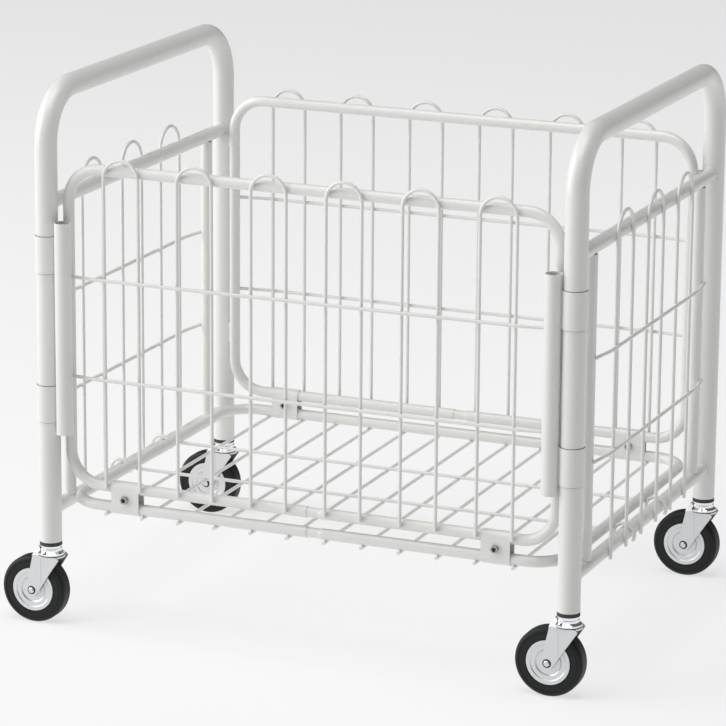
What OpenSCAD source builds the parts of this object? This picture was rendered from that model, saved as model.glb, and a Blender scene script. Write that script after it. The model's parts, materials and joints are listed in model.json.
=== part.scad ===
// Laundry sorter on wheels: two tubular end frames, wire panels, a drop gate,
// a wire floor and four swivel casters.
// X runs along the cart, -Y is the gate side, Z is up and z = 0 is the ground.

/* [End frames] */
// Distance between the centre planes of the two end frames
frame_length = 622; // [580:1:680]
// Distance between the front and back legs, centre to centre
frame_depth = 466; // [430:1:500]
// Height of the handle bars, to the middle of the tube
handle_height = 610; // [600:1:660]
// Outer diameter of the leg and handle tube
leg_d = 25.4; // [24:0.1:27]
// Centre line radius of the bends at the handle corners
handle_bend_r = 58; // [45:1:70]
// Outer diameter of the end frames' cross rails
rail_d = 15.9; // [14:0.1:18]
// Height of the end frames' top rails
top_rail_z = 486.5; // [470:0.5:500]
// Height of the end frames' bottom rails
bottom_rail_z = 133; // [131:0.5:135]
// Outer diameter of the thin uprights
upright_d = 13.8; // [12:0.1:15]
// Distance of each thin upright from its leg, centre to centre
upright_inset = 49; // [42:1:56]

/* [Panels and floor] */
// Outer diameter of the panel and floor tube
panel_tube_d = 12.7; // [11:0.1:14]
// Half of the panel width, to the middle of the side tubes
panel_half_w = 290; // [288:0.5:291]
// Distance of the panels from the leg centre plane
panel_inset = 13; // [12:0.5:16]
// Height of the panels' top rails
panel_top_z = 527; // [510:1:545]
// Height of the panels' bottom rails
panel_bottom_z = 165.5; // [165:0.5:167]
// Height of the floor frame's tube
floor_z = 142.3; // [142:0.1:143]
// Gap between the floor frame's end tube and the end frame, centre to centre
floor_end_gap = 18; // [17.5:0.1:18.5]
// Centre line radius of the panel and floor corners
corner_r = 38; // [30:1:45]

/* [Wire] */
// Diameter of all the wire
wire_d = 4; // [3.5:0.1:4.5]
// Number of hairpin loops on each long panel
panel_loops = 6; // [4:1:6]
// Half of the distance from one hairpin loop to the next on the long panels
panel_pitch = 44.4; // [40:0.1:46]
// Width of the hairpin loops on the long panels
panel_loop_w = 41.8; // [41:0.1:44]
// Number of hairpin loops on each end frame
end_loops = 3; // [2:1:3]
// Distance between the upright wires of the end frames, and the width of their loops
end_pitch = 51; // [45:0.5:54]
// How far the panel loops rise above their top rail, to the top of the wire
panel_loop_rise = 16; // [12:0.5:24]
// How far the end loops rise above their top rail, to the top of the wire
end_loop_rise = 27.5; // [22:0.5:36]
// Heights of the two cross wires on the long panels
panel_cross_z = [291, 405]; // [240:0.5:460]
// Heights of the two cross wires on the end frames
end_cross_z = [251.5, 367]; // [200:0.5:440]
// Distance of the two long floor wires from the middle of the floor
floor_wire_y = 60; // [40:1:90]
// Distance of the floor hooks from the middle of the floor
hook_y = 55; // [40:1:62]

/* [Latches] */
// Outer diameter of the latch tube
latch_d = 19.1; // [18:0.1:20]
// Height of the lower end of the latch tube
latch_low_z = 226; // [210:1:240]
// Height of the upper end of the latch tube
latch_high_z = 468; // [450:1:472]
// Heights of the lower ends of the two rings that turn on the leg
latch_ring_z = [238, 409]; // [226:1:426]
// Height of each ring
latch_ring_h = 42; // [30:1:42]

/* [Casters] */
// Diameter of the wheel
wheel_d = 78; // [76:0.5:80]
// Width of the tyre
tyre_w = 20; // [18:0.5:22]
// Distance of the wheel axle behind the swivel axis
trail = 19; // [17:0.5:20]
// Height of the leg ends above the top of the wheels
foot_rise = 19; // [18.5:0.5:22]

/* [Hidden] */

$fn = 48;

// Thicknesses and fits
tube_wall = 1.2;
thin_wall = 1;
sheet = 1.2;
weld_sink = 0.3;
running_gap = 0.05;

// Colours
white_coat = [0.91, 0.91, 0.88];
zinc = [0.78, 0.79, 0.80];
chrome = [0.86, 0.87, 0.88];
black = [0.08, 0.08, 0.09];

// Radii
leg_r = leg_d / 2;
rail_r = rail_d / 2;
upright_r = upright_d / 2;
tube_r = panel_tube_d / 2;
wire_r = wire_d / 2;
latch_r = latch_d / 2;
wheel_r = wheel_d / 2;

// Places in the cart
leg_x = frame_length / 2;
leg_y = frame_depth / 2;
foot_z = wheel_d + foot_rise;
upright_y = leg_y - upright_inset;
panel_y = leg_y - panel_inset;
floor_x = leg_x - floor_end_gap;
panel_wire_out = tube_r + wire_r - weld_sink;
end_wire_out = rail_r + wire_r - weld_sink;
cross_step = wire_d - weld_sink;

// Sleeves of the latches: beside the leg, a little proud of it
latch_gap = 1.1;
latch_reach = leg_r + latch_r + latch_gap;
latch_front = 6;
latch_side = sqrt(latch_reach * latch_reach - latch_front * latch_front);

// Swaged joint in the middle of a closed tube
neck_r = tube_r - 0.7;
neck_l = 14;
neck_taper = 4;

// Clamps
clamp_x = (panel_loops - 1) * panel_pitch;
clamp_shift = 1.5;
clamp_w = 33.6;
clamp_bore_r = tube_r + running_gap;
clamp_gap = 1.5;
bolt_z = (panel_bottom_z + floor_z) / 2;
bolt_r = 2.5;
bolt_head_r = 4;
bolt_head_h = 2.2;
bolt_end_depth = 2;
nut_flats = 8;
nut_h = 4;

// Slanted ends of the cross wires, tucked against the inner side of the tubes they meet
slant_run = 36;
tuck = 4;
tuck_depth = sqrt(tube_r * tube_r - tuck * tuck) + wire_r - weld_sink;

// Caster heights and radii
flange_h = 4.5;
neck_top_z = foot_z - flange_h;
neck_out_r = leg_r - 0.5;
crown_z = wheel_d + 0.6;
crown_h = 2;
race_low_z = crown_z + crown_h + 0.3;
race_edge_z = race_low_z + 2.7;
race_r = 15.2;
shoulder_x = 17.6;
shoulder_top_z = neck_top_z - 3;
stem_r = 5.5;
stem_top_z = foot_z + 26;
pin_r = 4;
pin_head_r = 6;
axle_r = 4;
axle_tip_r = 3.4;
eye_recess_r = 5;
eye_recess = 1.2;
fork_gap = 11.3;
fork_sheet = 2;
rim_r = 25;
hub_r = 6.2;

// The origin lies under the middle of the whole cart's box, which the wheels reach furthest
module placed() {
    translate([trail, 0, 0]) children();
}

// ---- Tubes and wires -------------------------------------------------------

// Tube wall seen end on
module annulus(r, wall) {
    difference() {
        circle(r);
        circle(r - wall);
    }
}

// Straight tube along +Z
module pipe(length, r, wall) {
    linear_extrude(length) annulus(r, wall);
}

// Tube bend in the XY plane, from the +X side round to the given angle
module pipe_bend(bend_r, r, wall, angle = 90) {
    rotate_extrude(angle = angle, $fn = 96) translate([bend_r, 0]) annulus(r, wall);
}

// Wire bend in the XY plane
module wire_bend(bend_r, angle) {
    rotate_extrude(angle = angle, $fn = 64) translate([bend_r, 0]) circle(wire_r, $fn = 24);
}

// Straight wire along +X, centred
module wire_x(length) {
    rotate([0, 90, 0]) cylinder(h = length, r = wire_r, center = true, $fn = 24);
}

// Straight wire along +Y, centred
module wire_y(length) {
    rotate([90, 0, 0]) cylinder(h = length, r = wire_r, center = true, $fn = 24);
}

// Turns the XY plane up into the XZ plane
module stand_xz() {
    rotate([90, 0, 0]) children();
}

// Turns the XY plane up into the YZ plane
module stand_yz() {
    rotate([90, 0, 90]) children();
}

// Tube of a panel's jointed rail along +X: one end is necked down and pushed into the other
module jointed_rail(half_length) {
    rotate([0, 90, 0]) rotate_extrude() polygon([
        [tube_r - thin_wall, -half_length],
        [tube_r, -half_length],
        [tube_r, 0],
        [neck_r, 0],
        [neck_r, neck_l],
        [tube_r, neck_l + neck_taper],
        [tube_r, half_length],
        [tube_r - thin_wall, half_length],
        [tube_r - thin_wall, neck_l + neck_taper],
        [neck_r - thin_wall, neck_l],
        [neck_r - thin_wall, 0],
        [tube_r - thin_wall, 0]]);
}

// Closed tube in the XY plane with four round corners and its joint in the low-Y side
module tube_ring(half_x, half_y) {
    straight_x = half_x - corner_r;
    straight_y = half_y - corner_r;
    translate([0, -half_y, 0]) jointed_rail(straight_x);
    translate([-straight_x, half_y, 0]) rotate([0, 90, 0]) pipe(2 * straight_x, tube_r, thin_wall);
    for (side = [-1, 1])
        translate([side * half_x, straight_y, 0])
            rotate([90, 0, 0]) pipe(2 * straight_y, tube_r, thin_wall);
    for (quarter = [0:3])
        translate([
            (quarter == 0 || quarter == 3 ? 1 : -1) * straight_x,
            (quarter < 2 ? 1 : -1) * straight_y,
            0])
            rotate([0, 0, 90 * quarter]) pipe_bend(corner_r, tube_r, thin_wall);
}

// Hairpin in the XY plane: two legs that start at low_y and join in a half circle
module hairpin(width, low_y, top_y) {
    bend_y = top_y - wire_r - width / 2;
    for (side = [-1, 1])
        translate([side * width / 2, low_y, 0])
            rotate([-90, 0, 0]) cylinder(h = bend_y - low_y, r = wire_r, $fn = 24);
    translate([0, bend_y, 0]) wire_bend(width / 2, 180);
}

// Straight wire in the XY plane whose ends slant down by step to meet a tube.
// The ends are a hair thinner, so that each starts inside the straight part.
module cross_wire(half_length, step) {
    straight = half_length - slant_run;
    slant_angle = atan2(step, slant_run);
    start = 0.4;
    wire_x(2 * straight);
    for (side = [0, 1])
        mirror([side, 0, 0]) translate([straight, 0, 0])
            rotate([0, 90, -slant_angle]) translate([0, 0, -start])
                cylinder(h = norm([slant_run, step]) + start, r = wire_r - 0.08, $fn = 24);
}

// Row of hairpins and two cross wires, in the XZ plane, with +Y as the outer side
module wire_grille(loops, pitch, loop_w, low_z, top_z, cross_heights, half_length, cross_drop) {
    for (i = [0:loops - 1])
        translate([(i - (loops - 1) / 2) * 2 * pitch, 0, 0])
            stand_xz() hairpin(loop_w, low_z, top_z);
    for (z = cross_heights)
        translate([0, cross_step, z]) cross_wire(half_length, cross_drop);
}

// ---- End frames ------------------------------------------------------------

// One tube: front leg, handle bar and back leg
module handle_frame(side) {
    bar_half = leg_y - handle_bend_r;
    bend_z = handle_height - handle_bend_r;
    color(white_coat) placed() translate([side * leg_x, 0, 0]) {
        for (end = [0, 1]) mirror([0, end, 0]) {
            translate([0, leg_y, foot_z]) pipe(bend_z - foot_z, leg_r, tube_wall);
            translate([0, bar_half, bend_z])
                stand_yz() pipe_bend(handle_bend_r, leg_r, tube_wall);
        }
        translate([0, bar_half, handle_height])
            rotate([90, 0, 0]) pipe(2 * bar_half, leg_r, tube_wall);
    }
}

// Cross rail between the legs, its ends shaped to the round legs
module end_rail(side, z) {
    color(white_coat) placed() translate([side * leg_x, 0, z]) difference() {
        translate([0, leg_y, 0]) rotate([90, 0, 0]) pipe(frame_depth, rail_r, tube_wall);
        for (end = [-1, 1])
            translate([0, end * leg_y, 0])
                cylinder(h = 3 * rail_d, r = leg_r - weld_sink, center = true);
    }
}

// Two thin tubes cut square at both ends, so they stay open beside the round rails
module uprights(side) {
    low_z = bottom_rail_z + rail_r - 1;
    high_z = top_rail_z - rail_r + 1;
    color(white_coat) placed() for (end = [-1, 1])
        translate([side * leg_x, end * upright_y, low_z])
            pipe(high_z - low_z, upright_r, thin_wall);
}

module end_wires(side) {
    outer = side * (leg_x + end_wire_out);
    cross_drop = end_wire_out + cross_step - (upright_r + wire_r - weld_sink);
    color(white_coat) placed() translate([outer, 0, 0]) rotate([0, 0, -90 * side])
        wire_grille(end_loops, end_pitch, end_pitch, bottom_rail_z - rail_r + 1,
                    top_rail_z + end_loop_rise, end_cross_z, upright_y + 2, cross_drop);
}

// ---- Long panels and floor -------------------------------------------------

// Rounded tube of the gate (side -1) or the back panel (side 1)
module panel_tube(side) {
    half_h = (panel_top_z - panel_bottom_z) / 2;
    color(white_coat) placed() translate([0, side * panel_y, panel_bottom_z + half_h])
        stand_xz() tube_ring(panel_half_w, half_h);
}

module panel_wires(side) {
    color(white_coat) placed() translate([0, side * (panel_y + panel_wire_out), 0])
        rotate([0, 0, side < 0 ? 180 : 0])
            wire_grille(panel_loops, panel_pitch, panel_loop_w, panel_bottom_z - 1,
                        panel_top_z + panel_loop_rise, panel_cross_z, panel_half_w - tuck,
                        panel_wire_out + cross_step - tuck_depth);
}

// Plates that join the back panel's side tubes to the back legs
module back_panel_tabs() {
    tab_l = 24;
    away_x = leg_x - panel_half_w;
    turn = atan2(panel_inset, away_x);
    span = norm([away_x, panel_inset]) - leg_r - tube_r + 4 * weld_sink;
    color(white_coat) placed() for (side = [-1, 1], z = [bottom_rail_z + 90, top_rail_z - 20])
        translate([side * leg_x, leg_y, z])
            rotate([0, 0, side > 0 ? 180 + turn : -turn])
                translate([leg_r - 2 * weld_sink, -1.5, 0]) cube([span, 3, tab_l]);
}

module floor_tube() {
    color(white_coat) placed() translate([0, 0, floor_z]) tube_ring(floor_x, panel_y);
}

// Cross wires under the floor frame and two long wires on top of them
module floor_wires() {
    short_z = floor_z - tube_r - wire_r + weld_sink;
    color(white_coat) placed() {
        for (i = [0:2 * panel_loops - 1])
            translate([(i - panel_loops + 0.5) * panel_pitch, 0, short_z]) wire_y(2 * (panel_y + tube_r + 1.6));
        for (side = [-1, 1])
            translate([0, side * floor_wire_y, short_z + cross_step])
                wire_x(2 * (floor_x - tube_r + 1.4));
    }
}

// Bent wires that hang the floor on the end frames' bottom rails
module floor_hooks() {
    rail_gap = norm([floor_end_gap, floor_z - bottom_rail_z]);
    hook_r = rail_gap - tube_r - wire_r + weld_sink;
    start_angle = -32;
    turn_angle = 222;
    color(white_coat) placed() for (side = [-1, 1], y = [-hook_y, hook_y])
        translate([side * leg_x, y, bottom_rail_z]) rotate([0, 0, side > 0 ? 0 : 180])
            stand_xz() rotate([0, 0, start_angle]) wire_bend(hook_r, turn_angle);
}

// ---- Clamps ----------------------------------------------------------------

// Long round-ended outline around both tubes, in the YZ plane's coordinates
module around_both_tubes(r) {
    low = floor_z - bolt_z;
    high = panel_bottom_z - bolt_z;
    for (z = [low, high]) translate([0, z]) circle(r);
    square([2 * r - 0.1, high - low], center = true);
}

// Strap bent round both tubes, seen end on; its ends meet under the floor tube
module clamp_profile() {
    difference() {
        around_both_tubes(clamp_bore_r + sheet);
        around_both_tubes(clamp_bore_r);
        translate([0, floor_z - bolt_z - panel_tube_d]) square([clamp_gap, panel_tube_d], center = true);
    }
}

module clamps(side) {
    color(white_coat) placed() for (end = [-1, 1])
        translate([end * clamp_x + clamp_shift, side * panel_y, bolt_z]) difference() {
            translate([-clamp_w / 2, 0, 0]) stand_yz() linear_extrude(clamp_w) clamp_profile();
            rotate([90, 0, 0]) cylinder(h = 2 * panel_tube_d, r = bolt_r + 0.1, center = true);
        }
}

module at_each_bolt() {
    placed() for (side = [-1, 1], end = [-1, 1])
        translate([end * clamp_x + clamp_shift, side * panel_y, bolt_z]) children();
}

// Bolts with a round head on the far side; the threaded end stops inside the nut
module clamp_bolts() {
    plate = clamp_bore_r + sheet;
    color(zinc) at_each_bolt() rotate([90, 0, 0]) {
        translate([0, 0, -plate])
            cylinder(h = 2 * plate + nut_h - bolt_end_depth, r = bolt_r - 0.1);
        translate([0, 0, -plate - bolt_head_h]) cylinder(h = bolt_head_h, r = bolt_head_r);
    }
}

module clamp_nuts() {
    plate = clamp_bore_r + sheet;
    color(zinc) at_each_bolt() rotate([90, 0, 0]) translate([0, 0, plate]) difference() {
        cylinder(h = nut_h, r = nut_flats / 2 / cos(30), $fn = 6);
        translate([0, 0, -1]) cylinder(h = nut_h + 2, r = bolt_r);
    }
}

// ---- Latches ---------------------------------------------------------------

// Moves to the front leg of one side
module at_front_leg(side) {
    placed() translate([side * leg_x, -leg_y, 0]) children();
}

module latch_tube(side) {
    color(white_coat) at_front_leg(side) translate([-side * latch_side, -latch_front, latch_low_z])
        pipe(latch_high_z - latch_low_z, latch_r, thin_wall);
}

// Rings that turn on the leg, each with a web to the latch tube
module latch_rings(side) {
    ring_in = leg_r + running_gap;
    ring_out = ring_in + 0.85;
    web_w = 5;
    turn = atan2(latch_front, latch_side);
    color(white_coat) at_front_leg(side)
        for (z = latch_ring_z)
            translate([0, 0, z]) {
                pipe(latch_ring_h, ring_out, ring_out - ring_in);
                rotate([0, 0, side > 0 ? 180 + turn : -turn]) difference() {
                    translate([ring_in + 0.3, -web_w / 2, 0])
                        cube([latch_reach - latch_r - ring_in + 0.5, web_w, latch_ring_h]);
                    translate([latch_reach, 0, -1])
                        cylinder(h = latch_ring_h + 2, r = latch_r - 0.2);
                }
            }
}

// ---- Casters ---------------------------------------------------------------

function corner_side(corner) = [
    corner[1] == "left" ? -1 : 1,
    corner[0] == "front" ? -1 : 1];

// Moves to the leg of one corner
module at_leg(corner) {
    placed() translate([corner_side(corner)[0] * leg_x, corner_side(corner)[1] * leg_y, 0])
        children();
}

// Moves to the wheel axle of one corner, with Z along the axle towards the front
module at_axle(corner) {
    at_leg(corner) translate([-trail, 0, wheel_r]) rotate([90, 0, 0]) children();
}

// Plugs in the leg ends, with a flange that shows as a dark ring
module leg_sockets() {
    color(black) for (end = ["front", "back"], side = ["left", "right"])
        at_leg([end, side]) difference() {
            union() {
                translate([0, 0, neck_top_z]) cylinder(h = flange_h, r = leg_r);
                translate([0, 0, foot_z]) cylinder(h = 28, r = leg_r - tube_wall - running_gap);
            }
            translate([0, 0, neck_top_z - 1]) cylinder(h = 60, r = stem_r + running_gap);
        }
}

// Stem, upper race and king pin, turned as one piece
module stem(corner) {
    color(chrome) at_leg(corner) rotate_extrude() polygon([
        [0, stem_top_z],
        [stem_r - 1, stem_top_z],
        [stem_r, stem_top_z - 1],
        [stem_r, neck_top_z],
        [neck_out_r, neck_top_z],
        [neck_out_r, neck_top_z - 2],
        [neck_out_r - 1.1, neck_top_z - 2.5],
        [neck_out_r - 1.1, neck_top_z - 3.3],
        [neck_out_r + 0.2, neck_top_z - 3.9],
        [neck_out_r + 0.2, race_edge_z + 2.6],
        [race_r - 1.2, race_edge_z + 1],
        [race_r, race_edge_z],
        [race_r, race_low_z + 0.8],
        [race_r - 0.8, race_low_z],
        [pin_r, race_low_z],
        [pin_r, crown_z - 0.3],
        [pin_head_r, crown_z - 0.3],
        [pin_head_r, crown_z - 1.6],
        [pin_head_r - 1, crown_z - 2.1],
        [0, crown_z - 2.1]]);
}

// Point where a line from p touches a circle; turn is 1 or -1 for the side
function touch_point(p, centre, r, turn) =
    let (away = p - centre)
    let (angle = atan2(away[1], away[0]) + turn * acos(r / norm(away)))
    centre + r * [cos(angle), sin(angle)];

// Side plate of the fork in the XZ plane
module fork_plate() {
    axle = [-trail, wheel_r];
    eye_r = 7.2;
    top_z = crown_z + crown_h;
    back_top = [-shoulder_x, top_z];
    back_low = [-shoulder_x, top_z - 2];
    front_top = [race_r - 2.2, top_z];
    front_low = [race_r - 0.2, top_z - 3];
    polygon([
        back_top,
        back_low,
        touch_point(back_low, axle, eye_r, 1),
        axle,
        touch_point(front_low, axle, eye_r, -1),
        front_low,
        front_top]);
    translate(axle) circle(eye_r);
}

// Raised shoulder of the crown on the side the wheel trails to, hollow around the race
module crown_shoulder() {
    outer = fork_gap + fork_sheet;
    low_z = crown_z + 1;
    top_x = race_r - 1.3;
    top_y = 6;
    difference() {
        intersection() {
            translate([0, outer, 0]) stand_xz() linear_extrude(2 * outer) polygon([
                [-shoulder_x, low_z],
                [-2, low_z],
                [-2, shoulder_top_z],
                [-top_x, shoulder_top_z],
                [-shoulder_x, low_z + 2]]);
            translate([-shoulder_x - 1, 0, 0]) stand_yz() linear_extrude(shoulder_x) polygon([
                [-outer, low_z],
                [outer, low_z],
                [outer, low_z + 2],
                [top_y, shoulder_top_z],
                [-top_y, shoulder_top_z],
                [-outer, low_z + 2]]);
        }
        rotate_extrude() polygon([
            [0, crown_z + crown_h],
            [race_r + 0.4, crown_z + crown_h],
            [race_r + 0.4, race_edge_z + 0.2],
            [neck_out_r + 0.7, race_edge_z + 2.8],
            [neck_out_r + 0.7, shoulder_top_z + 1],
            [0, shoulder_top_z + 1]]);
    }
}

// Upright rib pressed into the side plate on the -Y side, standing outwards
module fork_rib() {
    rib_half = 2.1;
    rib_h = 0.7;
    rib_x = -8.5;
    low_z = wheel_r + 8;
    translate([rib_x, 0, low_z]) linear_extrude(crown_z - low_z) polygon([
        [-rib_half, 0.3],
        [-rib_half, 0],
        [0.6 - rib_half, -rib_h],
        [rib_half - 0.6, -rib_h],
        [rib_half, 0],
        [rib_half, 0.3]]);
}

// Bent sheet fork: a crown under the race and two ribbed side plates
module fork(corner) {
    outer = fork_gap + fork_sheet;
    color(zinc) at_leg(corner) difference() {
        union() {
            for (y = [-fork_gap, outer])
                translate([0, y, 0]) stand_xz() linear_extrude(fork_sheet) fork_plate();
            for (face = [0, 1])
                mirror([0, face, 0]) translate([0, -outer, 0]) fork_rib();
            translate([0, 0, crown_z]) linear_extrude(crown_h) intersection() {
                union() {
                    circle(race_r + 0.6);
                    translate([-shoulder_x, -outer]) square([shoulder_x, 2 * outer]);
                }
                square([3 * race_r, 2 * outer], center = true);
            }
            crown_shoulder();
        }
        translate([0, 0, crown_z - 1]) cylinder(h = crown_h + 2, r = pin_r + running_gap);
        translate([-trail, 0, wheel_r])
            rotate([90, 0, 0]) cylinder(h = 60, r = axle_r + running_gap, center = true);
        for (face = [0, 1])
            mirror([0, face, 0]) translate([-trail, eye_recess - outer, wheel_r])
                rotate([90, 0, 0]) cylinder(h = 5, r = eye_recess_r);
    }
}

// Pin through fork and wheel, with a thinner tip that stands out of the fork's dished eye
module axle(corner) {
    shoulder = fork_gap + fork_sheet - eye_recess;
    tip = shoulder + 3.2;
    color(chrome) at_axle(corner) rotate_extrude() polygon([
        [0, -tip],
        [axle_tip_r - 0.8, -tip],
        [axle_tip_r, -tip + 0.8],
        [axle_tip_r, -shoulder],
        [axle_r, -shoulder],
        [axle_r, shoulder],
        [axle_tip_r, shoulder],
        [axle_tip_r, tip - 0.8],
        [axle_tip_r - 0.8, tip],
        [0, tip]]);
}

// Half of the rim's section: a pressed disc, the band under the tyre and the hub tube
module rim_half_profile() {
    polygon([
        [hub_r, 9.6],
        [hub_r + 1.4, 7.2],
        [14.5, 7.2],
        [16, 8.4],
        [20.5, 8.4],
        [21.5, 9.2],
        [rim_r - 1.2, 9.2],
        [rim_r - 1.2, 0],
        [rim_r, 0],
        [rim_r, 10.2],
        [21, 10.2],
        [20, 9.4],
        [15.5, 9.4],
        [14, 8.2],
        [hub_r + 2, 8.2],
        [hub_r, 10.6],
        [hub_r - 1, 10.6],
        [hub_r - 1, 0],
        [hub_r, 0]]);
}

module rim(corner) {
    color(zinc) at_axle(corner) for (half = [0, 1])
        mirror([0, 0, half]) rotate_extrude() rim_half_profile();
}

// Tyre section: flat sides, rounded shoulders, a fine moulded groove and a step at the rim
module tyre_profile() {
    shoulder_r = 4.5;
    half_w = tyre_w / 2;
    difference() {
        union() {
            translate([rim_r + running_gap, -half_w])
                square([wheel_r - rim_r - shoulder_r - running_gap, tyre_w]);
            translate([wheel_r - shoulder_r - 1, shoulder_r - half_w])
                square([shoulder_r + 1, tyre_w - 2 * shoulder_r]);
            for (side = [-1, 1])
                translate([wheel_r - shoulder_r, side * (half_w - shoulder_r)]) circle(shoulder_r);
        }
        for (side = [-1, 1]) {
            translate([wheel_r - shoulder_r - 1.2, side * half_w]) square(0.9, center = true);
            translate([rim_r, side * half_w]) square([2.6, 1.6], center = true);
        }
    }
}

module tyre(corner) {
    color(black) at_axle(corner) rotate_extrude($fn = 96) tyre_profile();
}

// Plain bearing between the hub tube and the axle
module bush(corner) {
    color(white_coat) at_axle(corner) translate([0, 0, -10])
        pipe(20, hub_r - 1 - running_gap, hub_r - 1 - axle_r - 2 * running_gap);
}

// ---- Assembly --------------------------------------------------------------

handle_frame(-1);  // left_handle_frame
handle_frame(1);  // right_handle_frame
end_rail(-1, top_rail_z);  // left_top_rail
end_rail(1, top_rail_z);  // right_top_rail
end_rail(-1, bottom_rail_z);  // left_bottom_rail
end_rail(1, bottom_rail_z);  // right_bottom_rail
uprights(-1);  // left_uprights
uprights(1);  // right_uprights
end_wires(-1);  // left_end_wires
end_wires(1);  // right_end_wires
panel_tube(1);  // back_panel_tube
panel_wires(1);  // back_panel_wires
back_panel_tabs();
floor_tube();
floor_wires();
floor_hooks();
clamps(-1);  // front_clamps
clamps(1);  // back_clamps
clamp_bolts();
clamp_nuts();
leg_sockets();
panel_tube(-1);  // gate_tube
panel_wires(-1);  // gate_wires
latch_tube(-1);  // left_latch_tube
latch_tube(1);  // right_latch_tube
latch_rings(-1);  // left_latch_rings
latch_rings(1);  // right_latch_rings
for (corner = [["front", "left"], ["front", "right"], ["back", "left"], ["back", "right"]]) {
    name = str(corner[0], "_", corner[1], "_");
    stem(corner);
    fork(corner);
    axle(corner);
    rim(corner);
    tyre(corner);
    bush(corner);
}
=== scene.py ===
"""Looks of the laundry cart: powder-coated tube and wire, sheet clamps and swivel casters."""
import json
import math
import random

import bmesh
import bpy
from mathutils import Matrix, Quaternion, Vector


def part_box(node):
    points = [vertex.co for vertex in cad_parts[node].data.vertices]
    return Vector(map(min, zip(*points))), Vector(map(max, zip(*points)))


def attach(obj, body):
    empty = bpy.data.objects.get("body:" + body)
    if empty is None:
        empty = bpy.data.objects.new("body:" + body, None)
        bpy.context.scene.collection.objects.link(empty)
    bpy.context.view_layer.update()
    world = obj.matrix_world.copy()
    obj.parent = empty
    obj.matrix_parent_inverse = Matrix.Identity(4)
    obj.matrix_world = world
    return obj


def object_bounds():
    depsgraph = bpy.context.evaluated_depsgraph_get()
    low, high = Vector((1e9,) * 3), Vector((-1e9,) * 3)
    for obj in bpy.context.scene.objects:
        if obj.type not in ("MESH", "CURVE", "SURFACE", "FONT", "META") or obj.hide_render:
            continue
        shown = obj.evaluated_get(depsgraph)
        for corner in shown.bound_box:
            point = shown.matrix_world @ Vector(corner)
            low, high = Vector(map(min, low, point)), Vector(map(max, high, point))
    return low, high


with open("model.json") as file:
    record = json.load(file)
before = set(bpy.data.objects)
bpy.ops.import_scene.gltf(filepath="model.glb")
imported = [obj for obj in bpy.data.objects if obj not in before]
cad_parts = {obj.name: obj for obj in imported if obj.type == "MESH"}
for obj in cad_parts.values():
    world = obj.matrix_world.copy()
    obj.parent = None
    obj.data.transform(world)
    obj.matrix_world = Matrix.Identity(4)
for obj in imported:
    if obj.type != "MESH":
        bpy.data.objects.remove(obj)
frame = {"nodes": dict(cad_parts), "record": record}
cad_low, cad_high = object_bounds()
centre = (cad_low + cad_high) / 2

MM = 0.001
CORNERS = ("front_left", "front_right", "back_left", "back_right")
SIDES = ("left", "right")


# ---- Camera and light ------------------------------------------------------

CAMERA_AZIMUTH = math.radians(22.74)
CAMERA_ELEVATION = math.radians(14.75)
CAMERA_ROLL = math.radians(0.42)
CAMERA_DISTANCE = 4.44
CAMERA_LENS = 192.7
CAMERA_AIM = Vector((-0.0041, -0.0108, -0.0292))

# The floor gives off some light of its own, which keeps it pale in the picture
FLOOR_HALF = 40
FLOOR_GLOW = 0.66


def direction(azimuth, elevation):
    """Unit vector from the cart towards a place at these angles in radians."""
    return Vector((
        math.sin(azimuth) * math.cos(elevation),
        -math.cos(azimuth) * math.cos(elevation),
        math.sin(elevation)))


def make_camera():
    back = direction(CAMERA_AZIMUTH, CAMERA_ELEVATION)
    data = bpy.data.cameras.new("camera")
    data.lens = CAMERA_LENS
    data.sensor_width = 36
    data.clip_start = 0.1
    data.clip_end = 60
    camera = bpy.data.objects.new("camera", data)
    bpy.context.scene.collection.objects.link(camera)
    camera.location = centre + CAMERA_AIM + back * CAMERA_DISTANCE
    camera.rotation_mode = "QUATERNION"
    level = (-back).to_track_quat("-Z", "Y")
    camera.rotation_quaternion = level @ Quaternion((0, 0, 1), CAMERA_ROLL)
    bpy.context.scene.camera = camera


def soft_light(name, azimuth, elevation, distance, size, power):
    """Square light that shines on the cart's middle from a direction given in degrees."""
    back = direction(math.radians(azimuth), math.radians(elevation))
    data = bpy.data.lights.new(name, "AREA")
    data.shape = "SQUARE"
    data.size = size
    data.energy = power
    light = bpy.data.objects.new(name, data)
    bpy.context.scene.collection.objects.link(light)
    light.location = centre + back * distance
    light.rotation_mode = "QUATERNION"
    light.rotation_quaternion = (-back).to_track_quat("-Z", "Y")


def make_floor():
    half = FLOOR_HALF
    mesh = bpy.data.meshes.new("floor")
    mesh.from_pydata(
        [(-half, -half, 0), (half, -half, 0), (half, half, 0), (-half, half, 0)],
        [], [(0, 1, 2, 3)])
    floor = bpy.data.objects.new("floor", mesh)
    bpy.context.scene.collection.objects.link(floor)
    shader = new_material("floor")[1]
    shader.inputs["Base Color"].default_value = (0.30, 0.30, 0.30, 1)
    shader.inputs["Roughness"].default_value = 0.9
    shader.inputs["Specular IOR Level"].default_value = 0.0
    shader.inputs["Emission Color"].default_value = (1, 1, 1, 1)
    shader.inputs["Emission Strength"].default_value = FLOOR_GLOW
    mesh.materials.append(bpy.data.materials["floor"])


def make_studio():
    scene = bpy.context.scene
    scene.view_settings.view_transform = "Standard"
    world = bpy.data.worlds.new("studio")
    scene.world = world
    world.use_nodes = True
    background = world.node_tree.nodes["Background"]
    background.inputs["Color"].default_value = (1.0, 1.0, 1.0, 1)
    background.inputs["Strength"].default_value = 0.13
    soft_light("key", -66, 20, 4.6, 4.4, 190)
    soft_light("top", -10, 78, 4.0, 3.2, 100)
    soft_light("rim", 118, 16, 3.0, 1.4, 5)
    make_floor()


# ---- Materials -------------------------------------------------------------

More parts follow.
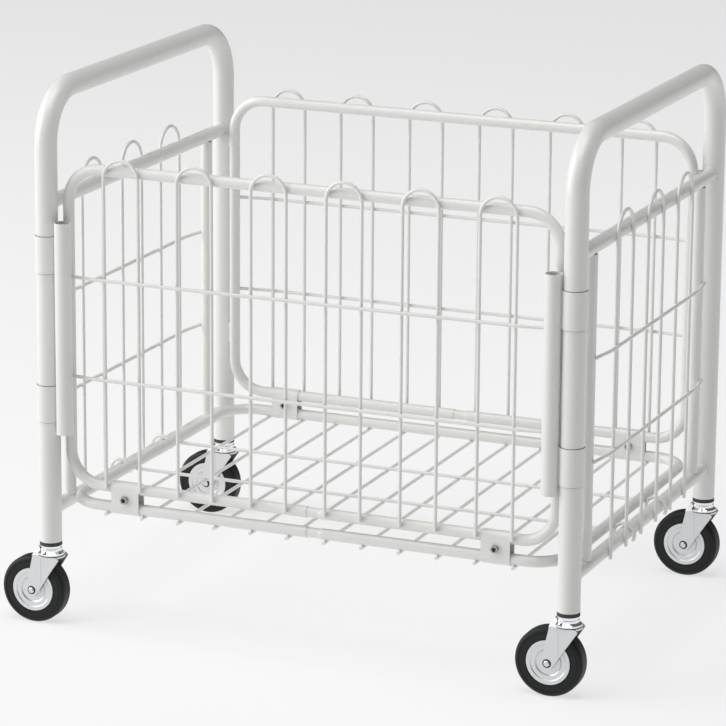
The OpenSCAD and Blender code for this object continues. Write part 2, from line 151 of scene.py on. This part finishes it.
def new_material(name):
    material = bpy.data.materials.new(name)
    material.use_nodes = True
    tree = material.node_tree
    return tree, tree.nodes["Principled BSDF"]


def node(tree, kind, **inputs):
    """New shader node with the inputs that are named set or linked."""
    made = tree.nodes.new("ShaderNode" + kind)
    for name, value in inputs.items():
        socket = made.inputs[name.replace("_", " ")]
        if isinstance(value, bpy.types.NodeSocket):
            tree.links.new(value, socket)
        else:
            socket.default_value = value
    return made


def object_place(tree):
    """The point on the piece in its own frame, in metres."""
    return tree.nodes.new("ShaderNodeTexCoord").outputs["Object"]


def ramp(tree, factor, low, high, low_at=0.3, high_at=0.7):
    """Colour that runs from low to high as factor does."""
    made = tree.nodes.new("ShaderNodeValToRGB")
    made.color_ramp.elements[0].position = low_at
    made.color_ramp.elements[1].position = high_at
    made.color_ramp.elements[0].color = (*low, 1)
    made.color_ramp.elements[1].color = (*high, 1)
    tree.links.new(factor, made.inputs["Fac"])
    return made.outputs["Color"]


def spread(tree, factor, low, high):
    """Number that runs from low to high as factor does."""
    made = node(tree, "MapRange", Value=factor, From_Min=0.3, From_Max=0.7, To_Min=low, To_Max=high)
    return made.outputs["Result"]


def noise(tree, place, scale, detail=2.0):
    return node(tree, "TexNoise", Vector=place, Scale=scale, Detail=detail).outputs["Fac"]


def bumps(tree, shader, *layers):
    """Each layer is a height, its depth in metres and its strength."""
    normal = None
    for height, depth, strength in layers:
        made = node(tree, "Bump", Height=height, Distance=depth, Strength=strength)
        if normal is not None:
            tree.links.new(normal, made.inputs["Normal"])
        normal = made.outputs["Normal"]
    tree.links.new(normal, shader.inputs["Normal"])


def powder_coat():
    tree, shader = new_material("powder_coat")
    place = object_place(tree)
    cloud = noise(tree, place, 9.0, 3.0)
    peel = noise(tree, place, 700.0, 1.5)
    colour = ramp(tree, cloud, (0.760, 0.760, 0.738), (0.80, 0.80, 0.778), 0.0, 1.0)
    tree.links.new(colour, shader.inputs["Base Color"])
    tree.links.new(spread(tree, peel, 0.27, 0.30), shader.inputs["Roughness"])
    shader.inputs["Specular IOR Level"].default_value = 0.6
    bumps(tree, shader, (peel, 0.00003, 0.12))


def plated(name, low, high, smooth, rough, grain_scale, depth, metallic):
    tree, shader = new_material(name)
    place = object_place(tree)
    cloud = noise(tree, place, 60.0, 3.0)
    grain = noise(tree, place, grain_scale, 3.0)
    tree.links.new(ramp(tree, cloud, low, high), shader.inputs["Base Color"])
    tree.links.new(spread(tree, grain, smooth, rough), shader.inputs["Roughness"])
    shader.inputs["Metallic"].default_value = metallic
    bumps(tree, shader, (grain, depth, 0.3))


def rubber():
    tree, shader = new_material("rubber")
    place = object_place(tree)
    cloud = noise(tree, place, 40.0, 4.0)
    grain = noise(tree, place, 1400.0, 2.0)
    colour = ramp(tree, cloud, (0.004, 0.005, 0.0056), (0.009, 0.0105, 0.0115))
    tree.links.new(colour, shader.inputs["Base Color"])
    tree.links.new(spread(tree, cloud, 0.42, 0.60), shader.inputs["Roughness"])
    shader.inputs["Specular IOR Level"].default_value = 0.35
    bumps(tree, shader, (cloud, 0.0004, 0.2), (grain, 0.0001, 0.25))


def plastic(name, low, high, smooth, rough):
    tree, shader = new_material(name)
    place = object_place(tree)
    cloud = noise(tree, place, 70.0, 3.0)
    grain = noise(tree, place, 900.0, 2.0)
    tree.links.new(ramp(tree, cloud, low, high), shader.inputs["Base Color"])
    tree.links.new(spread(tree, cloud, smooth, rough), shader.inputs["Roughness"])
    bumps(tree, shader, (grain, 0.0001, 0.3))


def make_materials():
    powder_coat()
    plated("chrome", (0.80, 0.81, 0.82), (0.88, 0.89, 0.90), 0.07, 0.14, 500.0, 0.00005, 1.0)
    plated("zinc", (0.82, 0.82, 0.82), (0.92, 0.92, 0.92), 0.26, 0.42, 700.0, 0.0001, 0.72)
    rubber()
    plastic("black_plastic", (0.012, 0.012, 0.013), (0.022, 0.022, 0.023), 0.42, 0.55)
    plastic("white_plastic", (0.72, 0.72, 0.69), (0.80, 0.80, 0.77), 0.40, 0.52)
    plated("dull_zinc", (0.34, 0.34, 0.35), (0.50, 0.50, 0.51), 0.24, 0.38, 700.0, 0.0001, 0.9)
    # painted shade: very dark zinc for the bolts, standing in for the shadow inside the nuts'
    # recesses
    plated("shade_dark_zinc", (0.05, 0.05, 0.053), (0.10, 0.10, 0.105), 0.28, 0.42, 700.0, 0.0001, 0.9)
    # painted shade: near-black marks for the shadow in the gaps at the latch rings and casters
    plastic("shade_black", (0.006, 0.006, 0.006), (0.014, 0.013, 0.012), 0.30, 0.55)
    # painted shade: near-black tone for the shadow inside the open tubes
    plastic("shade_lining", (0.030, 0.028, 0.026), (0.060, 0.056, 0.052), 0.55, 0.75)


SLOT_MATERIALS = {
    "white_coat": "powder_coat",
    "zinc": "zinc",
    "chrome": "chrome",
    "black_plastic": "black_plastic",
    "white_plastic": "white_plastic",
    "tyre": "rubber"}


def dress(piece, material):
    piece.data.materials.clear()
    piece.data.materials.append(bpy.data.materials[material])


def dress_nodes():
    """Gives every CAD node the material of its slot."""
    for part in frame["record"]["subparts"]:
        piece = frame["nodes"][part["node"]]
        dress(piece, SLOT_MATERIALS[part["material_slot"]])
    # painted shade: the bolts are darkened for the shadow where their ends sit inside the nuts
    dress(frame["nodes"]["clamp_bolts"], "shade_dark_zinc")
    dress(frame["nodes"]["clamp_nuts"], "dull_zinc")


def soften_edges(nodes, width):
    """Rounds the sharp edges of pressed and turned pieces."""
    for name in nodes:
        bevel = frame["nodes"][name].modifiers.new("edge", "BEVEL")
        bevel.width = width
        bevel.segments = 2
        bevel.limit_method = "ANGLE"
        bevel.angle_limit = math.radians(50)
        bevel.harden_normals = False


# ---- Small pieces ----------------------------------------------------------

THIN_WALL = 1.0 * MM

# Welds
WELD_STANDOFF = 0.1 * MM
COPE_BEAD_R = 1.25 * MM
COPE_BEAD_STEPS = 44
UPRIGHT_BEAD_R = 1.1 * MM
UPRIGHT_BEAD_STEPS = 10
UPRIGHT_BEAD_REACH = math.radians(34)
BEAD_SIDES = 8
BEAD_RIPPLE = 0.12
BEAD_END_SIZE = 0.35

# Painted shade: near-black sheets inside the open tubes stand in for the shadow deep in them; the
# coat reaches a little way in at the latch tubes, so the sheets stop below the top there
LINING_GAP = 0.06 * MM
LINING_FOOT = 0.4 * MM
COAT_REACH = 9.0 * MM

# Latch rings
RING_HEIGHT = 42.0 * MM

# Casters: heights over the stem's lowest point, and depths below the fork's ribs
CROWN_TOP_OVER_STEM = 4.1 * MM
SHADE_LINE_DEPTH = 5.0 * MM
EYE_R = 5.0 * MM
EYE_DEPTH = 1.9 * MM
EYE_BAND = 1.5 * MM


def add_piece(name, mesh, material, body):
    """New piece that rides on a CAD body, its mesh given in the row frame."""
    piece = bpy.data.objects.new(name, mesh)
    bpy.context.scene.collection.objects.link(piece)
    dress(piece, material)
    for face in mesh.polygons:
        face.use_smooth = True
    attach(piece, body)


class Shape:
    """Points and faces of a piece that is put together from bands."""

    def __init__(self):
        self.points = []
        self.faces = []

    def band(self, rings, closed_path=False):
        """Skin over rings that all have the same number of points."""
        first = len(self.points)
        count = len(rings[0])
        for ring in rings:
            self.points.extend(ring)
        spans = len(rings) if closed_path else len(rings) - 1
        for i in range(spans):
            here = first + i * count
            there = first + (i + 1) % len(rings) * count
            for j in range(count):
                k = (j + 1) % count
                self.faces.append((here + j, here + k, there + k, there + j))

    def mesh(self, name):
        made = bpy.data.meshes.new(name)
        made.from_pydata([tuple(p) for p in self.points], [], self.faces)
        bm = bmesh.new()
        bm.from_mesh(made)
        bmesh.ops.recalc_face_normals(bm, faces=bm.faces)
        bm.to_mesh(made)
        bm.free()
        return made


def circle(middle, across, up, radius, count):
    """Ring of points round middle in the plane of two unit vectors."""
    return [
        middle + (across * math.cos(t) + up * math.sin(t)) * radius
        for t in (2 * math.pi * i / count for i in range(count))]


def sideways(along):
    """Unit vector square to a direction, level where the direction allows it."""
    if abs(along.z) > 0.9:
        return along.orthogonal().normalized()
    return along.cross(Vector((0, 0, 1))).normalized()


def bead_along(shape, path, radius, closed, rng):
    """Weld bead: a rounded rope along a path, its size wavering a little."""
    rings = []
    last_step = len(path) - 1
    for i, point in enumerate(path):
        after = path[(i + 1) % len(path)] if closed or i < last_step else point
        before = path[i - 1] if closed or i > 0 else point
        along = (after - before).normalized()
        across = sideways(along)
        up = across.cross(along).normalized()
        size = radius * (1 + BEAD_RIPPLE * (rng.random() - 0.5) * 2)
        if not closed and i in (0, last_step):
            size *= BEAD_END_SIZE
        rings.append(circle(point, across, up, size, BEAD_SIDES))
    shape.band(rings, closed_path=closed)
    if not closed:
        end = len(shape.points)
        start = end - BEAD_SIDES * len(path)
        shape.faces.append(tuple(range(end - BEAD_SIDES, end)))
        shape.faces.append(tuple(range(start, start + BEAD_SIDES)))


def node_box(name):
    """Low corner, high corner, middle and size of a CAD node."""
    low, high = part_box(name)
    return low, high, (low + high) / 2, high - low


def leg_places(side):
    """Leg radius and the leg axes' X and front and back Y."""
    low, high, middle, size = node_box(side + "_handle_frame")
    radius = size.x / 2
    return radius, middle.x, (low.y + radius, high.y - radius)


def upright_places(side):
    """Upright radius, the axes' X, their two Y, and the heights of the ends."""
    low, high, middle, size = node_box(side + "_uprights")
    radius = size.x / 2
    return radius, middle.x, (low.y + radius, high.y - radius), (low.z, high.z)


def cope_path(leg_axis, leg_r, rail_r, inward):
    """Closed path where a level rail of radius rail_r runs into a leg."""
    path = []
    for i in range(COPE_BEAD_STEPS):
        t = 2 * math.pi * i / COPE_BEAD_STEPS
        x = (rail_r + WELD_STANDOFF) * math.cos(t)
        z = (rail_r + WELD_STANDOFF) * math.sin(t)
        y = math.sqrt((leg_r + WELD_STANDOFF) ** 2 - x * x)
        path.append(leg_axis + Vector((x, inward * y, z)))
    return path


def coped_beads(side, rng):
    """Beads where the end rails' shaped ends meet the legs."""
    leg_r, leg_x, leg_ys = leg_places(side)
    shape = Shape()
    for rail in ("top", "bottom"):
        middle, size = node_box(side + "_" + rail + "_rail")[2:]
        for leg_y in leg_ys:
            inward = -1 if leg_y > 0 else 1
            leg_axis = Vector((leg_x, leg_y, middle.z))
            path = cope_path(leg_axis, leg_r, size.z / 2, inward)
            bead_along(shape, path, COPE_BEAD_R, True, rng)
    name = side + "_rail_welds"
    add_piece(name, shape.mesh(name), "powder_coat", "frame")


def upright_path(foot, radius, rail_r, up, facing):
    """Short path round one side of an upright's square end, on the rail's surface."""
    path = []
    for i in range(UPRIGHT_BEAD_STEPS + 1):
        t = facing + (2 * i / UPRIGHT_BEAD_STEPS - 1) * UPRIGHT_BEAD_REACH
        x = (radius + WELD_STANDOFF) * math.cos(t)
        y = (radius + WELD_STANDOFF) * math.sin(t)
        z = math.sqrt((rail_r + WELD_STANDOFF) ** 2 - x * x)
        path.append(foot + Vector((x, y, up * z)))
    return path


def upright_beads(side, rng):
    """Short beads where the square ends of the uprights touch the rails."""
    radius, x, ys = upright_places(side)[:3]
    rail_r = node_box(side + "_top_rail")[3].z / 2
    shape = Shape()
    for y in ys:
        for rail, up in (("bottom", 1), ("top", -1)):
            rail_z = node_box(side + "_" + rail + "_rail")[2].z
            foot = Vector((x, y, rail_z))
            for facing in (math.pi / 2, 3 * math.pi / 2):
                path = upright_path(foot, radius, rail_r, up, facing)
                bead_along(shape, path, UPRIGHT_BEAD_R, False, rng)
    name = side + "_upright_welds"
    add_piece(name, shape.mesh(name), "powder_coat", "frame")


def lining(shape, x, y, radius, low_z, high_z):
    """Inner face of an upright tube, a dark sheet of painted shade."""
    up = Vector((0, 1, 0))
    across = Vector((1, 0, 0))
    shape.band([
        circle(Vector((x, y, z)), across, up, radius, 40) for z in (low_z, high_z)])


def latch_lining(side):
    low, high, middle, size = node_box(side + "_latch_tube")
    inner = size.x / 2 - THIN_WALL - LINING_GAP
    shape = Shape()
    lining(shape, middle.x, middle.y, inner, low.z + LINING_FOOT, high.z - COAT_REACH)
    name = side + "_latch_tube_inside"
    # painted shade: dark lining for the shadow inside the latch tube
    add_piece(name, shape.mesh(name), "shade_lining", side + "_latch")


def upright_linings(side):
    radius, x, ys, ends = upright_places(side)
    shape = Shape()
    for y in ys:
        lining(shape, x, y, radius - THIN_WALL - LINING_GAP, *ends)
    name = side + "_upright_insides"
    # painted shade: dark linings for the shadow inside the uprights
    add_piece(name, shape.mesh(name), "shade_lining", "frame")


def turned_ring(shape, middle, axis, profile):
    """Ring turned round an axis; the profile lists (radius, place along the axis)."""
    across = axis.orthogonal().normalized()
    up = axis.cross(across).normalized()
    rings = [
        circle(middle + axis * along, across, up, radius, 48) for radius, along in profile]
    shape.band(rings, closed_path=True)


def ring_gaps(side):
    """Painted shade: a dark line where each latch ring ends on the leg, for the shadow in the gap
    that lets it turn.
    """
    leg_r, leg_x, leg_ys = leg_places(side)
    low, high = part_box(side + "_latch_rings")
    profile = [
        (leg_r + 0.05 * MM, 0.01 * MM),
        (leg_r + 0.65 * MM, 0.01 * MM),
        (leg_r + 0.5 * MM, 0.35 * MM),
        (leg_r + 0.05 * MM, 0.4 * MM)]
    lower_ends = (low.z, high.z - RING_HEIGHT)
    shape = Shape()
    for lower_end in lower_ends:
        for edge, beyond in ((lower_end, -1), (lower_end + RING_HEIGHT, 1)):
            turned_ring(
                shape, Vector((leg_x, leg_ys[0], edge)), Vector((0, 0, beyond)), profile)
    name = side + "_ring_gaps"
    add_piece(name, shape.mesh(name), "shade_black", side + "_latch")


def race_gap_shade(shape, corner):
    """Painted shade: a dark line for the shadow in the gap between the fork's crown and the race.
    """
    low, high, middle, size = node_box(corner + "_stem")
    race_r = size.x / 2
    crown_top = Vector((middle.x, middle.y, low.z + CROWN_TOP_OVER_STEM))
    turned_ring(shape, crown_top, Vector((0, 0, 1)), [
        (race_r - SHADE_LINE_DEPTH, 0.04 * MM),
        (race_r + 0.1 * MM, 0.04 * MM),
        (race_r + 0.1 * MM, 0.9 * MM),
        (race_r - SHADE_LINE_DEPTH, 0.2 * MM)])


def eye_shade(shape, corner):
    """Painted shade: dark rings for the shadow round the axle's tips in the two dished eyes of the
    fork.
    """
    fork_depth = node_box(corner + "_fork")[3].y
    hub = node_box(corner + "_rim")[2]
    eye_wall = EYE_R - 0.04 * MM
    for face in (-1, 1):
        eye = Vector((hub.x, hub.y + face * (fork_depth / 2 - EYE_DEPTH), hub.z))
        turned_ring(shape, eye, Vector((0, face, 0)), [
            (EYE_R - EYE_BAND, 0.02 * MM),
            (eye_wall, 0.02 * MM),
            (eye_wall, 0.55 * MM),
            (EYE_R - EYE_BAND, 0.3 * MM)])


def caster_shade_rings(corner):
    shape = Shape()
    race_gap_shade(shape, corner)
    eye_shade(shape, corner)
    name = corner + "_shade_marks"
    # painted shade: dark marks for the shadow in the caster's gap and eye recesses
    add_piece(name, shape.mesh(name), "shade_black", corner + "_swivel")


# ---- Building the scene ----------------------------------------------------

make_camera()
make_materials()
make_studio()
dress_nodes()
soften_edges(["front_clamps", "back_clamps"], 0.3 * MM)
soften_edges([corner + "_fork" for corner in CORNERS], 0.35 * MM)

weld_rng = random.Random(4)
for cart_side in SIDES:
    coped_beads(cart_side, weld_rng)
    upright_beads(cart_side, weld_rng)
for cart_side in SIDES:
    latch_lining(cart_side)
    upright_linings(cart_side)
for cart_side in SIDES:
    ring_gaps(cart_side)
for cart_corner in CORNERS:
    caster_shade_rings(cart_corner)
